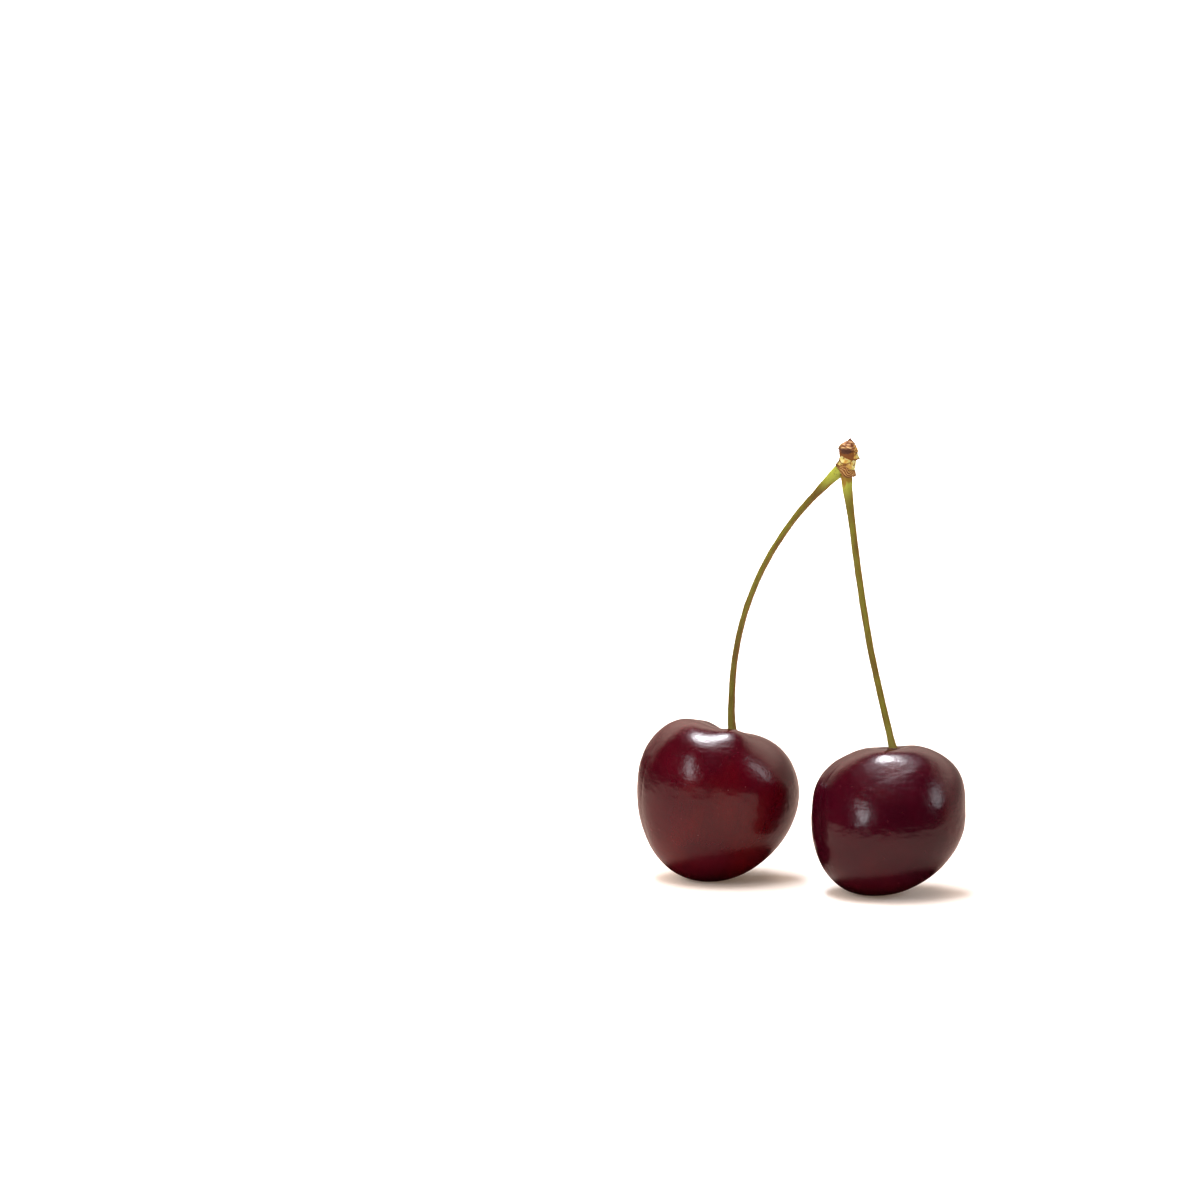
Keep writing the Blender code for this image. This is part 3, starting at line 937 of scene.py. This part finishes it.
def spur_relief(angle, height):
    """How far the bark stands out from its plain outline, and how much it is in the dent or on the lip."""
    turn = math.remainder(math.radians(angle - SCAR_ANGLE), FULL_TURN)
    spot = on_spur(angle, LUMPS_ROUND, height * LUMPS_UP)
    front = math.exp(-((turn / FRONT_REACH) ** 4))
    dent = front * math.exp(-(((height - SCAR_LEVEL) / SCAR_HEIGHT) ** 2))
    lip_level = LIP_LEVEL + LIP_WAVE * noise.noise(spot * LIP_WAVES)
    lip = front * math.exp(-(((height - lip_level) / LIP_HEIGHT) ** 2))
    rise = LUMP_HEIGHT * noise.noise(spot) + SMALL_LUMP_HEIGHT * noise.noise(spot * SMALLER_BY)
    rise += LIP_RISE * lip * (LIP_SHARE + noise.noise(spot * LIP_TEARS)) - SCAR_DEPTH * dent
    if height > BREAK_LEVEL:
        torn = noise.noise(on_spur(angle, BREAK_ROUND, height * BREAK_UP))
        rise += BREAK_ROUGHNESS * abs(torn) - BREAK_SUNK
    return rise, dent, lip


# %% Build the spur
SAME_PLACE = 0.0001
ON_AXIS = 0.01
PLAIN_WITHIN = 0.5


def build_spur(skin):
    """Spins the bark, evens its two sides out to their own reach, and roughens it."""
    bm = bmesh.new()
    rows = [(0.5 * (left + right), 0.0, height, 0.0) for height, left, right in SPUR_OUTLINE[:-2]]
    profile = smooth_route([*rows, (0.0, 0.0, 0.0, 0.0)], SPUR_OUTLINE_STEPS)
    verts = [bm.verts.new((max(0.0, x), 0.0, z)) for x, _, z, _ in profile]
    edges = [bm.edges.new(pair) for pair in zip(verts, verts[1:])]
    spin_round(bm, verts + edges, SPUR_SIDES)
    bmesh.ops.remove_doubles(bm, verts=bm.verts[:], dist=SAME_PLACE)
    layers = bm.verts.layers
    level, dent_layer, lip_layer = [layers.float.new(name) for name in ("level", "dent", "lip")]
    place = layers.float_vector.new("spur_place")
    for vert in bm.verts:
        height = vert.co.z
        angle = math.degrees(math.atan2(vert.co.y, vert.co.x))
        radius = math.hypot(vert.co.x, vert.co.y)
        rise, dent, lip = spur_relief(angle, height)
        vert[level] = height
        vert[dent_layer] = dent
        vert[lip_layer] = lip
        vert[place] = vert.co
        if radius > ON_AXIS:
            uneven = bark_radius(angle, height) / max(ON_AXIS, bark_radius(90, height))
            rise *= min(1.0, radius / PLAIN_WITHIN)
            vert.co = on_spur(angle, radius * uneven + rise, height)
    bmesh.ops.recalc_face_normals(bm, faces=bm.faces[:])
    bmesh.ops.transform(bm, matrix=SPUR_STAND, verts=bm.verts[:])
    return finish_piece("spur_fine", bm, "spur", skin)


# %% [markdown]
# ## Bark
#
# The spur's bark is brown and tan in level bands, orange where the scales held it and dark at the broken
# tip. Its dent is darkened with painted shade, and the lip between the dent and the tip carries a painted
# gold highlight. Each of these is a mask over the colours before it, and the masks are read from the level,
# the dent and the lip stored on the mesh, so that paint and shape agree.

# %% Material: spur
BARK_HEIGHT = 0.1 * MM


def spur_bark():
    """Banded brown bark with painted shade in its dent, a painted gold highlight on its lip and a pale torn
    break.
    """
    graph = new_graph("spur_bark")
    place = graph.attribute("spur_place", out="Vector")
    level = graph.attribute("level")
    dent = graph.attribute("dent")
    lip = graph.attribute("lip")
    bark, tan = (0.11, 0.034, 0.01), (0.3, 0.15, 0.06)
    cream = (0.36, 0.22, 0.11)
    dark, orange = (0.06, 0.023, 0.012), (0.11, 0.037, 0.007)
    lip_highlight, tip = (0.62, 0.45, 0.2), (0.08, 0.025, 0.013)

    clouds = graph.mottle(place, 1.6, detail=4.0)
    streaks = graph.mottle(graph.place(place, scale=(1, 1, 2.4)), 1.5, detail=3.0, roughness=0.6)
    colour = graph.mixed(graph.ramp(streaks, 0.45, 0.62), bark, tan)
    colour = graph.mixed(graph.ramp(clouds, 0.5, 0.7) * 0.75, colour, tip)
    torn = graph.mottle(graph.place(place, scale=(0.8, 0.8, 2.6), location=(2, 0, 0)), 1.6, detail=1.0)
    colour = graph.mixed(graph.ramp(torn, 0.54, 0.61) * graph.ramp(level, 4.1, 4.3), colour, cream)
    colour = graph.mixed(1 - graph.ramp(level + (clouds - 0.5) * 0.4, 3.2, 3.9), colour, orange)
    # Painted shade: dark in the dent.
    colour = graph.mixed(graph.ramp(dent, 0.05, 0.75), colour, dark)
    # Painted highlight: gold on the raised lip above the dent.
    colour = graph.mixed(graph.ramp(lip + (streaks - 0.5) * 3.2, 0.5, 1.0), colour, lip_highlight)
    colour = graph.mixed(graph.ramp(level, 5.0, 5.2), colour, tip)
    height = graph.mottle(place, 5.0, detail=4.0) + streaks * 0.6
    return graph.surface(colour, 0.6 - lip * 0.25, height, BARK_HEIGHT, IOR=1.35)


build_spur(spur_bark())

# %% [markdown]
# ## Scales of the old bud
#
# The stalks grew from a bud, and its scales are still wrapped round the spur: thin pale ones with a brown
# rim above, and a wrinkled brown papery collar below that also holds the tops of the stalks. Sheets of
# cloth could be draped here, but dry scales hold their shape. So each is a flat grid bent round the bark:
# its top and rim follow a few heights round the spur, with a ragged edge, and folds run across the papery
# ones.

# %% Scales: measures
# For each: the CAD node, the angles it begins and ends at, the heights of its top and of its rim at some
# angles, how far its top and rim stand off the bark, how far the rim flares more at some angles, and how
# much brown stain it has at some angles.
SCALES = {
    "collar_front": Shape(
        node="collar_scale_front", papery=True, begins=-186, ends=-28, lift=(0.1, 0.24),
        top=[(-186, 1.12), (-160, 1.0), (-130, 1.02), (-105, 0.8), (-80, 0.5), (-50, 0.4), (-28, 0.36)],
        rim=[
            (-186, 0.98), (-164, 0.33), (-135, -0.33), (-115, -0.74), (-80, -0.92), (-55, -0.72),
            (-28, -0.6),
        ],
        flare=[(-186, 0.42), (-164, 0.16), (-140, 0.0), (-28, 0.0)], stain=[(-186, 0.5), (-28, 0.5)],
    ),
    "collar_right": Shape(
        node="collar_scale_right", papery=True, begins=-62, ends=75, lift=(0.14, 0.3),
        top=[(-62, 0.36), (75, 0.3)],
        rim=[(-62, -0.72), (-30, -0.56), (-5, -0.55), (30, -0.42), (75, -0.1)],
        flare=[(-62, 0.0), (75, 0.0)], stain=[(-62, 0.7), (75, 0.4)],
    ),
    "collar_back": Shape(
        node="collar_scale_back", papery=True, begins=50, ends=190, lift=(0.08, 0.22),
        top=[(50, 0.5), (120, 0.8), (190, 1.1)],
        rim=[(50, -0.4), (90, -0.5), (130, -0.3), (165, 0.3), (190, 0.95)],
        flare=[(50, 0.0), (150, 0.1), (190, 0.45)], stain=[(50, 0.5), (190, 0.5)],
    ),
    "bract_lower": Shape(
        node="bract_lower", papery=False, begins=-194, ends=40, lift=(0.02, 0.07),
        top=[(-194, 2.3), (40, 2.3)],
        rim=[(-194, 1.02), (-165, 0.8), (-130, 0.6), (-90, 0.2), (-40, 0.05), (40, 0.2)],
        flare=[(-194, 0.6), (-166, 0.34), (-145, 0.05), (40, 0.0)],
        stain=[(-194, 0.05), (-150, 0.15), (-115, 0.7), (-85, 0.35), (-55, 0.0), (0, 0.1), (40, 0.5)],
    ),
    "bract_small": Shape(
        node=None, papery=False, begins=-178, ends=-58, lift=(0.02, 0.17),
        top=[(-178, 2.66), (-140, 2.62), (-58, 2.4)],
        rim=[
            (-178, 2.1), (-158, 1.78), (-146, 1.4), (-130, 1.19), (-106, 1.2), (-84, 1.43), (-68, 1.78),
            (-58, 2.0),
        ],
        flare=[(-178, 0.1), (-58, 0.0)], stain=[(-178, 0.1), (-140, 0.0), (-100, 0.25), (-58, 0.25)],
    ),
    "bract_back": Shape(
        node="bract_back", papery=False, begins=20, ends=196, lift=(0.04, 0.16),
        top=[(20, 2.5), (196, 2.5)],
        rim=[(20, 0.9), (70, 0.7), (110, 0.62), (160, 0.9), (196, 1.4)],
        flare=[(20, 0.0), (196, 0.3)], stain=[(20, 0.2), (90, 0.6), (196, 0.2)],
    ),
    "bract_upper": Shape(
        node="bract_upper", papery=False, begins=-140, ends=64, lift=(0.0, 0.16),
        top=[(-140, 2.8), (-100, 2.95), (-75, 3.25), (-45, 3.4), (-20, 3.5), (64, 3.6)],
        rim=[
            (-140, 2.55), (-126, 2.42), (-101, 2.19), (-73, 2.0), (-49, 1.96), (-24, 2.08), (-2, 2.2),
            (25, 2.1), (64, 1.9),
        ],
        flare=[(-140, 0.0), (-60, 0.05), (-26, 0.2), (-3, 0.42), (20, 0.2), (64, 0.05)],
        stain=[(-140, 1.0), (-95, 0.95), (-70, 0.7), (-45, 0.45), (-20, 0.05), (64, 0.3)],
    ),
    "bract_side": Shape(
        node=None, papery=False, begins=-72, ends=34, lift=(0.1, 0.2),
        top=[(-72, 2.2), (-62, 2.6), (-50, 2.95), (-30, 3.2), (0, 3.3), (34, 3.2)],
        rim=[(-72, 2.08), (-50, 2.08), (-24, 2.2), (-2, 2.34), (34, 2.3)],
        flare=[(-72, 0.0), (-26, 0.16), (-3, 0.3), (34, 0.1)],
        stain=[(-72, 0.6), (-50, 0.25), (-30, 0.0), (34, 0.3)],
    ),
    "bract_high": Shape(
        node=None, papery=False, begins=40, ends=214, lift=(0.02, 0.14),
        top=[(40, 3.7), (130, 3.4), (180, 3.0), (214, 2.7)],
        rim=[(40, 2.2), (90, 1.9), (130, 1.75), (175, 2.0), (214, 2.5)],
        flare=[(40, 0.05), (214, 0.0)], stain=[(40, 0.3), (120, 0.6), (214, 0.8)],
    ),
    "tip_scale": Shape(
        node="tip_scale", papery=True, begins=-64, ends=112, lift=(0.02, 0.1),
        top=[(-64, 4.7), (-30, 5.1), (20, 5.25), (112, 4.9)],
        rim=[(-64, 3.3), (-40, 3.3), (-15, 3.42), (40, 3.3), (112, 3.5)],
        flare=[(-64, 0.0), (-10, 0.08), (112, 0.0)], stain=[(-64, 0.4), (0, 0.0), (112, 0.6)],
    ),
    "torn_left": Shape(
        node=None, papery=True, begins=-214, ends=-150, lift=(0.0, 0.08),
        top=[(-214, 4.7), (-150, 4.5)], rim=[(-214, 3.3), (-180, 3.6), (-150, 4.0)],
        flare=[(-214, 0.0), (-150, 0.0)], stain=[(-214, 0.6), (-150, 0.2)],
    ),
}
print(len(SCALES), "scales, of which", sum(scale.papery for scale in SCALES.values()), "are papery")


# %% How a scale bends, tears and folds
# The first three differ between papery scales (True) and pale ones (False).
FOLDS_DOWN = {True: 3.7, False: 2.0}
FOLD_DEPTH = {True: 0.17, False: 0.02}
RAGGED = {True: 0.14, False: 0.06}
TOP_RAGGED, FINE_RAGGED = 0.7, 0.6
TOP_TEARS, RIM_TEARS, FINE_TEARS = 2.1, 1.8, 5.0
TOP_TORN_FROM = Vector((0, 0, 9))
FOLD_WANDER, FOLD_SUNK = 1.1, 0.4
LIFT_CURVE = 1.5
FRONT_BULGE, BULGE_BELOW, BULGE_OVER = 0.32, 0.6, 0.9
BUCKLE = 0.04
SIDE_PRESSED, SIDE_REACH = 0.08, 0.2
TOP_RIM_FROM = 0.06


def eased(stops, angle):
    """A value given at some angles, eased between them."""
    for (left, first), (right, second) in zip(stops, stops[1:]):
        if angle <= right:
            share = max(0.0, (angle - left) / (right - left))
            return first + (second - first) * share * share * (3 - 2 * share)
    return stops[-1][1]


def scale_point(scale, seed, across, down):
    """A point of the scale in millimetres, its share of a fold, and how far it is from the scale's edge."""
    angle = scale.begins + (scale.ends - scale.begins) * across
    turn = math.radians(angle)
    spot = on_spur(angle, 2, seed)
    ragged = RAGGED[scale.papery]
    top = eased(scale.top, angle)
    top += TOP_RAGGED * ragged * noise.noise(spot * TOP_TEARS + TOP_TORN_FROM)
    rim = eased(scale.rim, angle) + ragged * noise.noise(spot * RIM_TEARS)
    rim += FINE_RAGGED * ragged * noise.noise(spot * FINE_TEARS)
    height = top + (rim - top) * down
    at_top, at_rim = scale.lift
    radius = bark_radius(angle, height) + at_top + (at_rim - at_top) * down**LIFT_CURVE
    radius += eased(scale.flare, angle) * down**2
    low = max(0.0, min(1.0, (BULGE_BELOW - height) / BULGE_OVER))
    radius += FRONT_BULGE * max(0.0, -math.sin(turn)) * low
    wander = noise.noise(Vector((spot.x * 0.9, spot.y * 0.9, seed + down)))
    fold = FOLDS_DOWN[scale.papery] * down + FOLD_WANDER * wander
    radius += FOLD_DEPTH[scale.papery] * (fold % 1.0 - FOLD_SUNK) * min(1.0, 4 * down)
    radius += BUCKLE * noise.noise(Vector((spot.x * 1.5, spot.y * 1.5, height * 2 + seed)))
    side = min(across, 1 - across) * math.radians(scale.ends - scale.begins) * radius
    radius -= SIDE_PRESSED * math.exp(-((side / SIDE_REACH) ** 2))
    from_edge = min(side, (1 - down) * abs(top - rim), down * abs(top - rim) + TOP_RIM_FROM)
    return on_spur(angle, radius, height), fold % 1.0, from_edge


# %% Bend a grid into a scale
SCALE_THICKNESS = 0.05
FACES_ACROSS = 120
FACES_ALONG = 44
RIM_LINE = 0.15
PATTERN_PER_DEGREE = 0.03


def build_scale(name, scale, seed, skin):
    """Bends a grid round the bark, turns it to face outwards, and gives it a thickness."""
    bm = bmesh.new()
    bmesh.ops.create_grid(bm, x_segments=FACES_ACROSS, y_segments=FACES_ALONG, size=0.5)
    layers = bm.verts.layers
    stored = [layers.float.new(layer) for layer in ("rim_line", "fold", "stain", "level")]
    place_layer = layers.float_vector.new("scale_place")
    for vert in bm.verts:
        across, down = vert.co.x + 0.5, 0.5 - vert.co.y
        angle = scale.begins + (scale.ends - scale.begins) * across
        place, fold, from_edge = scale_point(scale, seed, across, down)
        at_rim = math.exp(-((from_edge / RIM_LINE) ** 2))
        for layer, value in zip(stored, (at_rim, fold, eased(scale.stain, angle), place.z)):
            vert[layer] = value
        vert[place_layer] = (angle * PATTERN_PER_DEGREE, place.z, seed)
        vert.co = place
    bmesh.ops.recalc_face_normals(bm, faces=bm.faces[:])
    outward = sum(face.normal.dot(face.calc_center_median().xy.to_3d()) for face in bm.faces)
    if outward < 0:
        bmesh.ops.reverse_faces(bm, faces=bm.faces[:])
    bmesh.ops.transform(bm, matrix=SPUR_STAND, verts=bm.verts[:])
    piece = finish_piece(f"{name}_fine", bm, scale.node, skin)
    shell = piece.modifiers.new("thickness", "SOLIDIFY")
    shell.thickness = SCALE_THICKNESS * MM
    shell.offset = -1
    return piece


# %% [markdown]
# ## Papery brown
#
# The scales of the collar and the tip have dried to brown paper: tan and olive patches, with fibres that
# run down from the top. Their ridges carry a painted straw highlight and their folds painted shade in dark
# lines. The folds were stored on the mesh as it was bent, so the painted shade lies exactly in them.

# %% Material: papery scale
PAPER_HEIGHT = 0.1 * MM


def papery_brown():
    """Dry brown paper with painted shade in its folds, a painted highlight on its ridges and a dark rim."""
    graph = new_graph("papery_brown")
    place = graph.attribute("scale_place", out="Vector")
    rim_line = graph.attribute("rim_line")
    fold = graph.attribute("fold")
    stain = graph.attribute("stain")
    level = graph.attribute("level")
    brown, tan = (0.14, 0.053, 0.011), (0.25, 0.125, 0.036)
    dark, ridge_highlight = (0.05, 0.016, 0.005), (0.5, 0.3, 0.12)
    olive, ochre = (0.2, 0.14, 0.012), (0.38, 0.2, 0.03)
    clouds = graph.mottle(graph.place(place, scale=(0.8, 1.6, 1)), 1.5, detail=4.0)
    colour = graph.mixed(graph.ramp(clouds, 0.38, 0.62), brown, tan)
    patches = graph.mottle(graph.place(place, scale=(0.7, 1, 1), location=(4, 2, 1)), 0.9, detail=2.0)
    colour = graph.mixed(graph.ramp(patches, 0.5, 0.62) * 0.6, colour, olive)
    # Painted highlight: straw on the raised ridges of the folds.
    colour = graph.mixed(graph.ramp(fold, 0.5, 0.8) * 0.5, colour, ridge_highlight)
    colour = graph.mixed((1 - graph.ramp(stain, 0.1, 0.45)) * 0.75, colour, ochre)
    # Painted shade: dark lines in the sunk part of each fold.
    fold_shade = (1 - graph.ramp(fold, 0.2, 0.45)) * graph.ramp(clouds, 0.2, 0.36)
    colour = graph.mixed((fold_shade * (0.85 + stain * 0.3)).clamped(), colour, dark)
    colour = graph.mixed(rim_line * 0.45, colour, dark)
    colour = graph.mixed(graph.ramp(level, 4.5, 4.85) * 0.9, colour, dark)
    fibres = graph.mottle(graph.place(place, scale=(9, 1.2, 1)), 1.5, detail=2.0)
    colour = graph.mixed(graph.ramp(fibres, 0.55, 0.75) * 0.3, colour, dark)
    height = fibres * 0.5 + clouds
    return graph.surface(colour, 0.55, height, PAPER_HEIGHT, IOR=1.3)


# %% [markdown]
# ## Pale bract
#
# The inner scales, or bracts, are still fleshy: cream and yellow, stained ochre and orange where they
# have begun to dry, with a thin brown rim. The stain is spread by a few values round each scale and broken
# up by noise, so that each scale can be stained where the real one is and still has ragged patches.

# %% Material: pale bract
VEIN_HEIGHT = 0.08 * MM


def pale_bract():
    """Cream and yellow, stained in patches, with a brown rim."""
    graph = new_graph("pale_bract")
    place = graph.attribute("scale_place", out="Vector")
    rim_line = graph.attribute("rim_line")
    stain = graph.attribute("stain")
    cream, yellow = (0.46, 0.45, 0.2), (0.37, 0.34, 0.09)
    orange, rim = (0.13, 0.045, 0.006), (0.12, 0.04, 0.005)
    ochre = (0.36, 0.2, 0.03)
    clouds = graph.mottle(place, 1.3, detail=4.0)
    colour = graph.mixed(graph.ramp(clouds, 0.4, 0.62), cream, yellow)
    spots = graph.mottle(graph.place(place, scale=(1.4, 1, 1), location=(3, 1, 2)), 1.5, detail=2.0)
    stained = (stain * 1.5 + (spots - 0.5) * 1.6).clamped()
    colour = graph.mixed(graph.ramp(stained, 0.05, 0.5) * 0.9, colour, ochre)
    colour = graph.mixed(graph.ramp(stained, 0.55, 1.0), colour, orange)
    colour = graph.mixed(graph.ramp(rim_line + (spots - 0.5) * 0.25, 0.08, 0.45) * 0.95, colour, rim)
    veins = graph.mottle(graph.place(place, scale=(7, 0.6, 1)), 1.6, detail=2.0)
    colour = graph.mixed(graph.ramp(veins, 0.6, 0.75) * 0.15, colour, orange)
    height = veins * 0.6 + clouds * 0.4
    return graph.surface(colour, 0.5, height, VEIN_HEIGHT, IOR=1.35)


# %% Build the scales
SCALE_SEED_STEP = 2.3
SCALE_SKINS = {True: papery_brown(), False: pale_bract()}
for number, (name, scale) in enumerate(SCALES.items()):
    build_scale(name, scale, SCALE_SEED_STEP * number, SCALE_SKINS[scale.papery])
